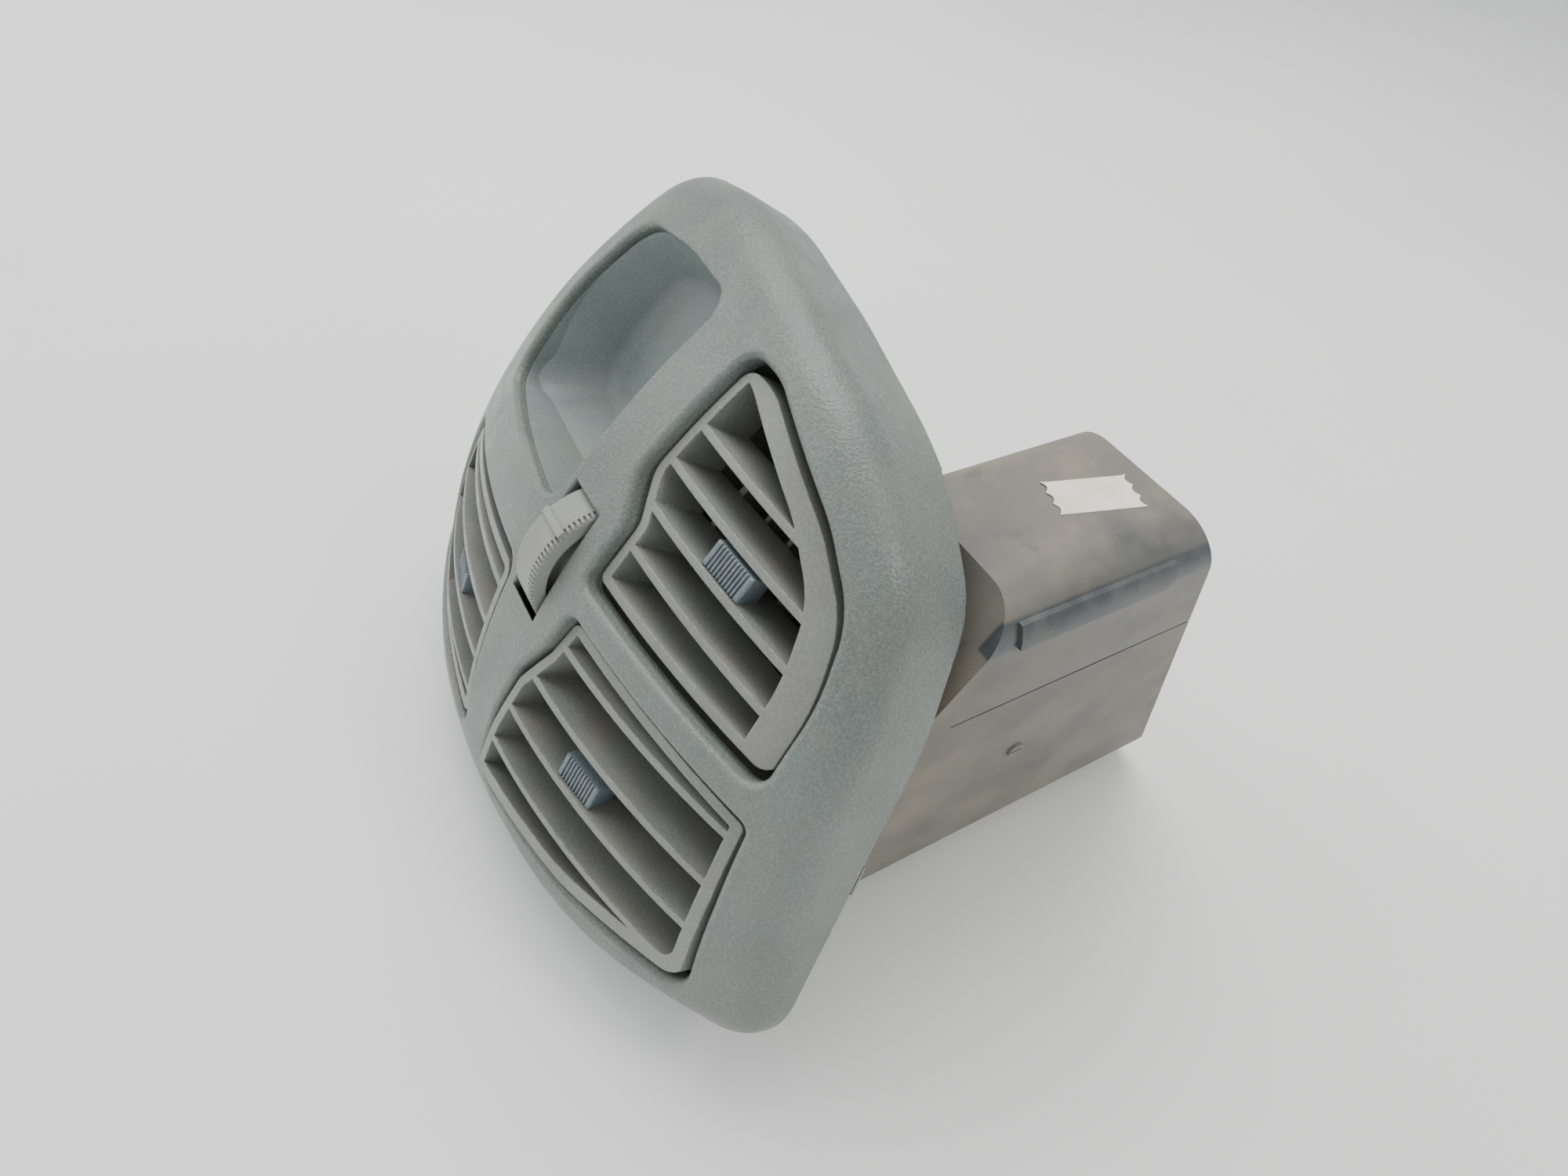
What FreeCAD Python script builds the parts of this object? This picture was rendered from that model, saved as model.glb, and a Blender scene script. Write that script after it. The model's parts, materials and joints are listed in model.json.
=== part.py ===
import FreeCAD, Part
import math
import os
from FreeCAD import Vector, Placement, Rotation

os.makedirs("parts", exist_ok=True)

# Dashboard centre air vent: domed bezel, three tilting grilles, one display pocket,
# a thumbwheel-driven damper and a rear supply duct.  Millimetres.
# Face coordinates: x across, v up along the leaning face, n out of the face,
# zero at the crown of the dome.  Parts are moved to the row frame when saved.

# ---- driving dimensions ----
LEAN = 32.3            # lean of the face from vertical, degrees
DOME_R = 217.0         # radius of the domed face
SHELL = 2.5            # bezel wall
RIM_N = -48.0          # seating rim of the bezel
EDGE_ROUND = 13.0      # roundover between dome and skirt
COLLAR_T = 2.0         # thickness of the collars behind the openings
COLLAR_DEPTH = 6.0     # how far the collars reach behind the face
LIP_ROUND = 1.6        # rounded edge of the openings
SLOT_ROUND = 0.8       # rounded edge of the thumbwheel slot

PLATE_N = -50.0        # front of the vent housing's back plate
PLATE_T = 2.0
PLATE_INSET = 7.4      # bezel outline to edge of the back plate
TUBE_GAP = 1.8         # opening edge to inside of a vent tube
TUBE_T = 1.4

GRILLE_GAP = 1.1       # opening edge to grille frame
SWING_GAP = 2.2        # extra gap above and below, so that a grille can tilt
RING_T = 2.6           # grille frame wall
LOUVRE_T = 2.0
GRILLE_BACK = -8.0     # back of a grille, behind its tilt axis
PIVOT_DEPTH = 9.5      # tilt axis behind the front of a grille
PIN_R = 1.5
RUN_GAP = 0.06         # radial running clearance
PIN_RELIEF = 0.7       # gap round the tilt pins where they pass the bezel's collars

VANE_T = 1.3
VANE_PIN_R = 1.0
VANE_PIVOT_N = -22.5   # vane hinge line, behind the tilt axis
DRIVE_PIN_N = -12.0    # drive pin line, behind the tilt axis
DRIVE_PIN_R = 0.9
DRIVE_SLOT_GAP = 0.15
VANE_SWING = 30.0      # degrees each way
CARRIER_T = 1.8
CARRIER_BACK = -26.0
LINK_H = 3.0

KNOB_W = 13.6
KNOB_H = 7.4           # height of the grip above its louvre
KNOB_IN = 1.0          # front of the grip behind the front of its louvre
KNOB_DEPTH = 9.5
KNOB_RIBS = 10
KNOB_MARGIN = 1.2      # plain strip beside the ribs
KNOB_ROUND = 0.6
RIB_CUT = 0.7          # depth of the grooves between the ribs
KNOB_SLIT = 0.06       # gap between louvre and knob
ARM_W = 3.2            # arm that carries the grip round the back of the louvre
ARM_T = 2.0
ARM_BACK = 1.9         # how far the arm reaches behind the grille
PRONG = 7.0            # length of the arm's prong under the louvre

WHEEL_R = 23.0
WHEEL_X = (-4.4, 7.3)  # left and right edge of the thumbwheel's rim
WHEEL_HUB_X = 3.8      # right face of its web, where the crank disc sits
WHEEL_RIM_T = 4.0
WHEEL_N = -17.5        # centre of the thumbwheel, behind the crown
CRANK_R = 12.0
LEVER_R = 18.2
LEVER_X = (5.2, 7.3)   # x range of the damper shaft's lever
AXLE_R = 2.0
BRACKET_ARMS = ((-6.6, -5.0), (10.1, 11.7))   # x range of the bracket's arms
LINK_X = 8.5           # middle plane of the damper link rod
LINK_T = 1.8           # thickness of the link rod
EYE_W = 6.4            # width of the link rod's eyes
EYE_SLOT_W = 3.6
CRANK_SAG = 2.9        # how far the crank pin drops at the end of its travel
LEVER_SAG = 1.8
WHEEL_ROOM = 1.6       # gap between wheel and bezel
WHEEL_TEETH = 100
TOOTH = (2.2, 0.6, 0.6)    # length along the rim, width and depth of one notch
WHEEL_ROUND = 0.8
MARK = (2.2, 0.9)          # index ridge: width and height
MARK_TURN = 22.0           # index ridge from the middle of the slot, degrees
CRANK_DISC_T = 2.3
PIN_REACH = 1.3            # how far the link rod's pins pass its middle plane
LINK_PIN_R = 1.5
SLOT_WALL_T = 1.4
SLOT_WALL_N = -3.2     # how far the wall round the wheel slot reaches back
LINK_PORT = (6.6, 10.4, 14.5, 24.6)  # x and v range of the link rod's hole in the plate

DUCT_X = (30.0, 85.5)
DUCT_Z = (-97.0, 24.4)
DUCT_R = 13.0
DUCT_T = 2.0
DUCT_Y = 71.0          # front of the rear duct shells
DUCT_END_Y = 147.0     # top edge of the inlet
DUCT_END_SLOPE = 0.30  # inlet face: depth gained per unit of drop
SEAM_Z = -12.5
FLAP_Y = 103.7
FLAP_Z = -43.2
FLAP_T = 2.0
FLAP_GAP = 1.6
FLAP_REST = -25.0      # flap angle from closed, as stored
SHAFT_R = 2.5

LABEL = (26.0, 12.5, 0.12)

# ---- outlines in (x, v), each corner with its radius ----
BEZEL_OUT = [(47, 77, 100), (0, 88.5, 130), (-40, 95.5, 80), (-83, 89, 24), (-95.5, 40.5, 110),
             (-99, 1.5, 180), (-116, -57, 18), (-57, -86, 110), (0, -87.5, 200), (59, -87.5, 110),
             (117.5, -59, 18), (100, 0, 180), (92.2, 27.3, 90), (77.6, 58, 32)]
OPEN_R = [(16.2, 2.6, 3.2), (83.5, 2.6, 5.5), (80.3, 27.7, 55), (72, 46.2, 28),
          (55.4, 57.2, 55), (20.3, 71.5, 23), (8.8, 71.5, 4.6), (8.8, 33.2, 11), (16.6, 21.2, 7)]
OPEN_B = [(18.9, -5.3, 3.7), (86.3, -5.3, 2.8), (90.5, -27.7, 74), (95.5, -60, 8.3),
          (55.4, -72, 74), (7.8, -77.5, 4.6), (8.8, -53.5, 55), (11.4, -33.2, 9.2),
          (17.1, -18.5, 5.5)]
OPEN_L = [(-10.6, -13.8, 5.5), (-8.1, -77.5, 4.6), (-55.4, -72, 74), (-95.5, -60, 8.3),
          (-90.5, -27.7, 74), (-87.7, -13.8, 4.6)]
OPEN_T = [(-75.7, 9.2, 8.3), (-9.4, 5.7, 9.2), (-9.4, 75.2, 8.3), (-36.9, 75.7, 74),
          (-70.1, 70.6, 16), (-79.4, 36.9, 55)]
POCKET_BACK = [(-68, 18, 8), (-15, 16, 9), (-15, 67, 8), (-36, 68, 60), (-62, 63, 14),
               (-70, 38, 50)]
POCKET_FLOOR_N = -42.0
POCKET_T = 1.6
POCKET_ROUND = 6.0
POCKET_FLARE = 14.0    # how much wider than the opening the sloping walls start
SLOT = [(-6.0, -17.3, 1.6), (8.3, -17.3, 1.6), (8.3, 17.3, 1.6), (-6.0, 17.3, 1.6)]

# ---- the three vents ----
# centre in face coordinates, recess of the grille, first louvre and pitch, carrier box,
# vane positions, knob louvre and position, thicker rim side, rest tilt, lean of the louvres
VENTS = {
    "r": {"open": OPEN_R, "c": (45.0, 37.0), "recess": 3.5, "row": -30.8, "pitch": 10.95,
          "rows": 5, "box": (-22.0, 24.0, -26.0, 14.0), "vanes": (-12.2, -3.4, 5.4, 14.2),
          "knob_row": 2, "knob_x": -0.9, "rim": (-6.0, -2.2), "tilt": 0.0, "lean": 10.0},
    "b": {"open": OPEN_B, "c": (51.0, -41.0), "recess": 1.0, "row": 25.4, "pitch": -14.4,
          "rows": 4, "box": (-26.0, 34.0, -20.0, 24.0), "vanes": (-16.2, -2.8, 10.6, 24.0),
          "knob_row": 2, "knob_x": -5.6, "rim": (-1.5, 3.4), "tilt": -5.0, "lean": 0.0},
    "l": {"open": OPEN_L, "c": (-51.0, -45.0), "recess": 1.0, "row": 21.3, "pitch": -13.85,
          "rows": 4, "box": (-33.0, 31.0, -16.6, 20.0), "vanes": (-23.2, -8.4, 6.4, 21.2),
          "knob_row": 2, "knob_x": 5.6, "rim": (1.5, 3.4), "tilt": 0.0, "lean": 0.0},
}

BOSSES = [(97.6, -22), (-90, 24), (104, -52), (-104, -52), (0, 77.5)]
BOSS_R = 3.4
EAR_R = 4.4            # ears of the back plate round the screws
SCREW_R = 1.4
SCREW_HEAD_R = 3.0
SCREW_L = 8.5
PILOT_N = -42.0        # inner end of the screw posts' pilot holes
FIXINGS = [(89.2, 0), (-88.4, 0)]
FIXING_R = 1.7
CLIP_SIGHTS = [(125, -5), (-125, -5), (48, 99), (-60, 117)]   # each clip is nearest to one of these
CLIP_GAP = 0.1         # clip to inner wall of the bezel
CLIP_T = 0.6
CLIP_W = 8.0
CLIP_STAND = 3.4       # strip of the clip inside of the bezel wall
CLIP_UP = 5.0          # flange of the clip above the rim
CLIP_DOWN = 5.9        # hook of the clip below the rim

# plenum blocks: footprint on the back plate, footprint at the far end, its depth
UPPER_BLOCK = ([(12, -4, 3), (86, -4, 3), (85, 25, 3), (72, 50, 3), (58, 57, 3), (12, 57, 3)],
               [(30, -4, 3), (85.5, -4, 3), (85.4, 25, 3), (84.4, 50, 3), (70, 58, 3), (30, 58, 3)],
               -76.0)
LOWER_BLOCK = ([(6, -75, 3), (60, -70, 3), (90, -57, 3), (90, -30, 3), (86, -1, 3), (12, -1, 3)],
               [(30, -62, 3), (60, -62, 3), (84.8, -58, 3), (85.5, -30, 3), (85.2, -1, 3), (30, -1, 3)],
               -84.0)
LEFT_BLOCK = ([(24, -73.4, 3), (24, -13, 3), (-86, -13, 3), (-90, -28, 3), (-90, -57, 3), (-60, -70, 3)],
              [(46, -62, 3), (46, -20, 3), (-46, -20, 3), (-56, -30, 3), (-56, -52, 3), (-40, -64, 3)],
              -82.0)
DUCT_FRONT_N = -56.0   # front wall of the duct where it stands clear of the plenum
SEAM_GROOVE = 0.35     # half width of the groove between the duct shells
RAIL_OUT = 1.2         # how far the corner rail stands out of the duct

# Rotation from face coordinates to the row frame, and the shift that puts the row's
# origin in the plane of the seating rim.
FACE_TO_ROW = Rotation(Vector(1, 0, 0), 90.0 - LEAN)
SEAT_SHIFT = FACE_TO_ROW.multVec(Vector(0, 0, -RIM_N))


def save(name, shape, in_face=True):
    """Write one sub-part in the row frame."""
    out = shape.copy()
    if in_face:
        out.Placement = Placement(SEAT_SHIFT, FACE_TO_ROW).multiply(out.Placement)
    else:
        out.Placement = Placement(SEAT_SHIFT, Rotation()).multiply(out.Placement)
    out.exportStep("parts/%s.step" % name)


def outline(corners, grow=0.0):
    """Face in the x-v plane from rounded corners, grown or shrunk by an offset."""
    edges = []
    count = len(corners)
    ends = []
    for i in range(count):
        here = Vector(corners[i][0], corners[i][1], 0)
        before = Vector(corners[i - 1][0], corners[i - 1][1], 0)
        after = Vector(corners[(i + 1) % count][0], corners[(i + 1) % count][1], 0)
        radius = corners[i][2]
        to_before = (before - here).normalize()
        to_after = (after - here).normalize()
        half = to_before.getAngle(to_after) / 2.0
        reach = radius / math.tan(half)
        bisector = (to_before + to_after).normalize()
        middle = here + bisector * (radius / math.sin(half) - radius)
        ends.append((here + to_before * reach, middle, here + to_after * reach))
    for i in range(count):
        start, middle, stop = ends[i]
        edges.append(Part.Arc(start, middle, stop).toShape())
        edges.append(Part.makeLine(stop, ends[(i + 1) % count][0]))
    face = Part.Face(Part.Wire(edges))
    if grow:
        face = face.makeOffset2D(grow)
    return face


def prism(face, low, high):
    """Extrude a face of the x-v plane between two depths."""
    base = face.copy()
    base.translate(Vector(0, 0, low))
    return base.extrude(Vector(0, 0, high - low))


def dome(radius):
    """Ball whose front is concentric with the face; its seam lies at the back."""
    ball = Part.makeSphere(radius)
    ball.rotate(Vector(0, 0, 0), Vector(1, 0, 0), 90)
    ball.rotate(Vector(0, 0, 0), Vector(0, 1, 0), 90)
    ball.translate(Vector(0, 0, -DOME_R))
    return ball


def box(x0, x1, y0, y1, z0, z1):
    return Part.makeBox(x1 - x0, y1 - y0, z1 - z0, Vector(x0, y0, z0))


def rod(radius, start, stop):
    axis = stop - start
    return Part.makeCylinder(radius, axis.Length, start, axis)


def round_rect(x0, x1, y0, y1, radius, grow=0.0):
    r = max(radius + grow, 0.5)
    return outline([(x0 - grow, y0 - grow, r), (x1 + grow, y0 - grow, r),
                    (x1 + grow, y1 + grow, r), (x0 - grow, y1 + grow, r)])


def try_fillet(shape, radius, edges):
    """Round the given edges; leave the shape alone where the kernel can't."""
    try:
        rounded = shape.makeFillet(radius, edges)
        if rounded.isValid() and rounded.Volume > 0:
            return rounded
    except Exception:
        pass
    print("fillet skipped", radius, len(edges))
    return shape


def solid_of(shape):
    """The single solid of a boolean result, with coplanar pieces merged."""
    clean = shape.removeSplitter()
    if len(clean.Solids) == 1:
        return clean.Solids[0]
    return clean


# ---- frames of the three vents ----
def vent_frame(vent):
    """Placement of a vent's own axes: X along its tilt axis, Z out along the dome's normal."""
    xc, vc = vent["c"]
    front_r = DOME_R - vent["recess"]
    front_n = math.sqrt(front_r ** 2 - xc ** 2 - vc ** 2) - DOME_R
    normal = Vector(xc, vc, front_n + DOME_R).normalize()
    up = Vector(0, normal.z, -normal.y).normalize()
    along = up.cross(normal).normalize()
    origin = Vector(xc, vc, front_n) - normal * PIVOT_DEPTH
    return Placement(origin, Rotation(along, up, normal, "ZXY"))


def in_vent(shape, vent):
    """Move a piece from a vent's own axes to face coordinates, at its stored tilt."""
    out = shape.copy()
    tilt = Placement(Vector(0, 0, 0), Rotation(Vector(1, 0, 0), vent["tilt"]))
    out.Placement = vent_frame(vent).multiply(tilt).multiply(out.Placement)
    return out


def tilt_in_face(shape, vent):
    """Apply the stored tilt to a piece built in face coordinates."""
    frame = vent_frame(vent)
    out = shape.copy()
    out.rotate(frame.Base, frame.Rotation.multVec(Vector(1, 0, 0)), vent["tilt"])
    return out


def tilt_rod(vent, radius):
    """Long rod on the tilt axis, in face coordinates."""
    frame = vent_frame(vent)
    start = frame.multVec(Vector(-60, 0, 0))
    stop = frame.multVec(Vector(60, 0, 0))
    return rod(radius, start, stop)


# ---- bezel ----
def shell_solid(inset):
    """Domed solid with a rounded shoulder, inset from the bezel's outer surface."""
    body = prism(outline(BEZEL_OUT, -inset), RIM_N - (10 if inset else 0), 20)
    body = body.common(dome(DOME_R - inset)).Solids[0]
    shoulder = [e for e in body.Edges
                if e.BoundBox.ZMin > RIM_N + 2 and e.BoundBox.XLength + e.BoundBox.YLength > 0.3]
    return try_fillet(body, EDGE_ROUND - inset, shoulder)


def make_bezel(core):
    openings = [OPEN_R, OPEN_B, OPEN_L, OPEN_T]
    outer = shell_solid(0.0)
    bezel = outer.cut(shell_solid(SHELL))
    inner = dome(DOME_R - SHELL + 0.3)
    for corners, depth in zip(openings, (COLLAR_DEPTH, COLLAR_DEPTH, COLLAR_DEPTH, SHELL + 1)):
        collar = prism(outline(corners, COLLAR_T), RIM_N, 10).common(inner)
        collar = collar.cut(dome(DOME_R - depth))
        collar = collar.cut(prism(outline(corners), RIM_N - 5, 15))
        bezel = bezel.fuse(collar)
    slot_wall = prism(outline(SLOT, SLOT_WALL_T), SLOT_WALL_N, 10).common(inner)
    bezel = bezel.fuse(slot_wall.cut(prism(outline(SLOT), -20, 15)))
    filled = shell_solid(SHELL / 2)
    for x, v in BOSSES:
        post = Part.makeCylinder(BOSS_R, 60, Vector(x, v, PLATE_N))
        bezel = bezel.fuse(post.common(inner).common(filled))
    for corners in openings + [SLOT]:
        bezel = bezel.cut(prism(outline(corners), RIM_N - 5, 15))
    for x, v in BOSSES:
        pilot = Part.makeCylinder(SCREW_R, PILOT_N - PLATE_N + 1, Vector(x, v, PLATE_N - 1))
        bezel = bezel.cut(pilot)
    for vent in VENTS.values():
        relief = tilt_rod(vent, PIN_R + PIN_RELIEF).common(core)
        bezel = bezel.cut(relief)
    wheel_room = Part.makeCylinder(WHEEL_R + WHEEL_ROOM, SLOT[1][0] - SLOT[0][0],
                                   Vector(SLOT[0][0], 0, WHEEL_N), Vector(1, 0, 0))
    bezel = solid_of(bezel.cut(wheel_room))
    for lips, radius in ((openings, LIP_ROUND), ([SLOT], SLOT_ROUND)):
        mouths = []
        for edge in bezel.Edges:
            middle = edge.valueAt((edge.FirstParameter + edge.LastParameter) / 2)
            on_dome = abs((middle + Vector(0, 0, DOME_R)).Length - DOME_R) < 0.01
            if on_dome and any(outline(c, 0.5).isInside(Vector(middle.x, middle.y, 0), 0.01, True)
                               for c in lips):
                mouths.append(edge)
        bezel = try_fillet(bezel, radius, mouths)
    return bezel


# ---- housing behind the bezel ----
def vent_hole(vent):
    """Passage through a vent's tube, from behind the plate to in front of the dome."""
    return prism(outline(vent["open"], TUBE_GAP), PLATE_N - 10, 15)


def make_plate():
    """Back plate; each vent opens only into the plenum block behind it."""
    plate = prism(outline(BEZEL_OUT, -PLATE_INSET), PLATE_N - PLATE_T, PLATE_N)
    plate = plate.fuse([Part.makeCylinder(EAR_R, PLATE_T, Vector(x, v, PLATE_N - PLATE_T))
                        for x, v in BOSSES])
    plate = plate.common(prism(outline(BEZEL_OUT, -SHELL - 0.5), PLATE_N - 10, 0))
    for key, block in (("r", UPPER_BLOCK), ("b", LOWER_BLOCK), ("l", LEFT_BLOCK)):
        footprint = prism(outline(block[0], -DUCT_T), PLATE_N - 10, 15)
        plate = plate.cut(vent_hole(VENTS[key]).common(footprint))
    plate = plate.cut(box(*LINK_PORT, PLATE_N - 5, PLATE_N + 5))
    for x, v in BOSSES:
        plate = plate.cut(Part.makeCylinder(SCREW_R + 0.3, 20, Vector(x, v, PLATE_N - 10)))
    for x, v in FIXINGS:
        plate = plate.cut(Part.makeCylinder(FIXING_R, 20, Vector(x, v, PLATE_N - 10)))
    return solid_of(plate)


def make_tube(vent, core):
    """Tube that stands on the back plate round one grille and carries its tilt bearings."""
    tube = prism(outline(vent["open"], TUBE_GAP + TUBE_T), PLATE_N, 10).cut(vent_hole(vent))
    tube = tube.common(dome(DOME_R - COLLAR_DEPTH - 0.5)).common(core)
    return solid_of(tube.cut(tilt_rod(vent, PIN_R + RUN_GAP)))


def make_pocket():
    """Well whose walls run straight in from the opening, then slope to a smaller floor."""
    def well(grow, floor):
        low = outline(POCKET_BACK, grow).OuterWire
        low.translate(Vector(0, 0, floor))
        high = outline(OPEN_T, grow + POCKET_FLARE).OuterWire
        high.translate(Vector(0, 0, 4))
        slope = Part.makeLoft([low, high], True, True)
        return slope.common(prism(outline(OPEN_T, grow), floor - 1, 5))

    inner = well(0.0, POCKET_FLOOR_N)
    floor_edges = [e for e in inner.Edges if e.BoundBox.ZMax < POCKET_FLOOR_N + 0.1]
    inner = try_fillet(inner, POCKET_ROUND, floor_edges)
    pocket = well(POCKET_T, POCKET_FLOOR_N - POCKET_T).cut(inner)
    pocket = pocket.common(dome(DOME_R - SHELL - 1.05))
    return solid_of(pocket)


def make_bezel_screws():
    screws = []
    for x, v in BOSSES:
        shank = Part.makeCylinder(SCREW_R - 0.05, SCREW_L, Vector(x, v, PLATE_N - PLATE_T))
        head = Part.makeCylinder(SCREW_HEAD_R, 2.2, Vector(x, v, PLATE_N - PLATE_T - 2.2))
        recess = box(x - 0.5, x + 0.5, v - 2, v + 2, PLATE_N - 6, PLATE_N - PLATE_T - 1.2)
        screws.append(shank.fuse(head).cut(recess).removeSplitter())
    return Part.makeCompound(screws)


def make_clips():
    """Sheet-metal spring clips inside the rim, with hooks that hold the dash skin."""
    wall = outline(BEZEL_OUT, -SHELL - CLIP_GAP).OuterWire
    half = CLIP_W / 2
    back = -CLIP_STAND - CLIP_T
    clips = []
    for x, v in CLIP_SIGHTS:
        sight = Vector(x, v, 0)
        foot = wall.distToShape(Part.Vertex(sight))[1][0][0]
        strip = box(back, -CLIP_STAND, -half, half, -CLIP_DOWN - CLIP_T, CLIP_UP + CLIP_T)
        flange = box(back, 0.0, -half, half, CLIP_UP, CLIP_UP + CLIP_T)
        hook = box(-CLIP_STAND, -0.3, -half, half, -CLIP_DOWN - CLIP_T, -CLIP_DOWN)
        clip = strip.fuse([flange, hook]).removeSplitter()
        outward = sight - foot
        clip.rotate(Vector(0, 0, 0), Vector(0, 0, 1), math.degrees(math.atan2(outward.y, outward.x)))
        clip.translate(foot + Vector(0, 0, RIM_N))
        clips.append(clip)
    return Part.makeCompound(clips)


# ---- vents ----
def louvre_place(vent, v):
    """Frame at the front of one louvre, leaning with it."""
    return Placement(Vector(0, v, PIVOT_DEPTH), Rotation(Vector(1, 0, 0), vent["lean"]))


def make_grille(vent):
    front = dome(DOME_R - vent["recess"])
    open_face = outline(vent["open"], -GRILLE_GAP)
    rim = prism(open_face, -80, 20)
    for shift in (-SWING_GAP, SWING_GAP):
        moved = prism(open_face, -80, 20)
        moved.translate(Vector(0, shift, 0))
        rim = rim.common(moved)
    bore_face = outline(vent["open"], -GRILLE_GAP - RING_T)
    bore = prism(bore_face, -85, 25)
    for dx, dv in ((0, -SWING_GAP), (0, SWING_GAP), vent["rim"]):
        moved = prism(bore_face, -85, 25)
        moved.translate(Vector(dx, dv, 0))
        bore = bore.common(moved)
    room = vent_frame(vent)
    slab = box(-70, 70, -70, 70, GRILLE_BACK, 30)
    slab.Placement = room
    ring = rim.cut(bore).common(front).common(slab)
    rows = []
    for i in range(vent["rows"]):
        v = vent["row"] + vent["pitch"] * i
        louvre = box(-70, 70, -LOUVRE_T / 2, LOUVRE_T / 2, -30, 20)
        louvre.Placement = room.multiply(louvre_place(vent, v))
        rows.append(louvre.common(front).common(slab))
    louvres = rows[0].fuse(rows[1:]).common(rim)
    grille = ring.fuse(louvres)
    reach = prism(outline(vent["open"], TUBE_GAP + TUBE_T - 0.2), -85, 25)
    stubs = tilt_rod(vent, PIN_R).common(reach).cut(bore)
    grille = grille.fuse(stubs)
    return tilt_in_face(solid_of(grille), vent)


def knob_v(vent):
    return vent["row"] + vent["pitch"] * vent["knob_row"]


def make_carrier(vent):
    x0, x1, v0, v1 = vent["box"]
    t = CARRIER_T
    frame = box(x0, x1, v0, v1, CARRIER_BACK, GRILLE_BACK)
    frame = frame.cut(box(x0 + t, x1 - t, v0 + t, v1 - t, CARRIER_BACK - 1, GRILLE_BACK + 1))
    for x in vent["vanes"]:
        frame = frame.cut(rod(VANE_PIN_R + RUN_GAP, Vector(x, v0 - 1, VANE_PIVOT_N),
                              Vector(x, v1 + 1, VANE_PIVOT_N)))
    return in_vent(solid_of(frame), vent)


def link_low(vent):
    return vent["box"][2] + CARRIER_T + 0.4


def make_link_bar(vent):
    low = link_low(vent)
    x0 = min(vent["vanes"]) - 2.6
    x1 = max(vent["vanes"]) + 2.6
    bar = box(x0, x1, low, low + LINK_H, -15.9, -9.9)
    half = DRIVE_PIN_R + DRIVE_SLOT_GAP
    sag = (DRIVE_PIN_N - VANE_PIVOT_N) * (1 - math.cos(math.radians(VANE_SWING)))
    for x in vent["vanes"]:
        slot = box(x - half, x + half, low - 1, low + LINK_H + 1,
                   DRIVE_PIN_N - sag - half, DRIVE_PIN_N + half)
        bar = bar.cut(slot)
    return in_vent(solid_of(bar), vent)


def make_vane(vent, x):
    v0 = vent["box"][2]
    v1 = vent["box"][3]
    low = link_low(vent) + LINK_H + 0.4
    high = v1 - CARRIER_T - 0.4
    blade = box(x - VANE_T / 2, x + VANE_T / 2, low, high, -25.0, -10.9)
    pivot = rod(VANE_PIN_R, Vector(x, v0 + 0.2, VANE_PIVOT_N), Vector(x, v1 - 0.2, VANE_PIVOT_N))
    drive = rod(DRIVE_PIN_R, Vector(x, low - LINK_H, DRIVE_PIN_N), Vector(x, low + 4, DRIVE_PIN_N))
    return in_vent(solid_of(blade.fuse([pivot, drive])), vent)


def make_knob(vent):
    """Ribbed grip on top of a louvre; its arm passes behind the louvre to the link bar."""
    v = knob_v(vent)
    x = vent["knob_x"]
    under = LOUVRE_T / 2 + KNOB_SLIT
    back = GRILLE_BACK - PIVOT_DEPTH - ARM_BACK
    grip = box(x - KNOB_W / 2, x + KNOB_W / 2, under, under + KNOB_H, -KNOB_DEPTH, -KNOB_IN)
    grip = try_fillet(grip, KNOB_ROUND, [e for e in grip.Edges if e.BoundBox.ZMin > -KNOB_IN - 0.01])
    pitch = (KNOB_W - 2 * KNOB_MARGIN) / KNOB_RIBS
    for i in range(KNOB_RIBS):
        groove_x = x - KNOB_W / 2 + KNOB_MARGIN + pitch * (i + 0.5)
        grip = grip.cut(box(groove_x - pitch * 0.25, groove_x + pitch * 0.25,
                            under - 1, under + KNOB_H + 1, -KNOB_IN - RIB_CUT, 1))
    arm = box(x - ARM_W / 2, x + ARM_W / 2, under, under + ARM_T, back, -KNOB_DEPTH + 1)
    prong = box(x - ARM_W / 2, x + ARM_W / 2, -under - ARM_T, -under, back, back + PRONG)
    slider = grip.fuse([arm, prong])
    slider.Placement = louvre_place(vent, v)
    rise = -back * math.sin(math.radians(vent["lean"]))
    drop = box(x - ARM_W / 2, x + ARM_W / 2, link_low(vent), v + rise + under + ARM_T / 2,
               GRILLE_BACK - ARM_BACK, GRILLE_BACK - 0.3)
    return in_vent(solid_of(slider.fuse(drop)), vent)


# ---- thumbwheel and damper drive ----
def face_point(x, v, n):
    """Face coordinates to row axes, still measured from the crown."""
    return FACE_TO_ROW.multVec(Vector(x, v, n))


WHEEL_C = face_point(0, 0, WHEEL_N)
FLAP_C = Vector(0, FLAP_Y, FLAP_Z)
ROD_DIR = (FLAP_C - WHEEL_C).normalize()
ROD_UP = Vector(1, 0, 0).cross(ROD_DIR).normalize()


def pin_point(centre, radius, x):
    return Vector(x, centre.y, centre.z) + ROD_UP * radius


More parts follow.
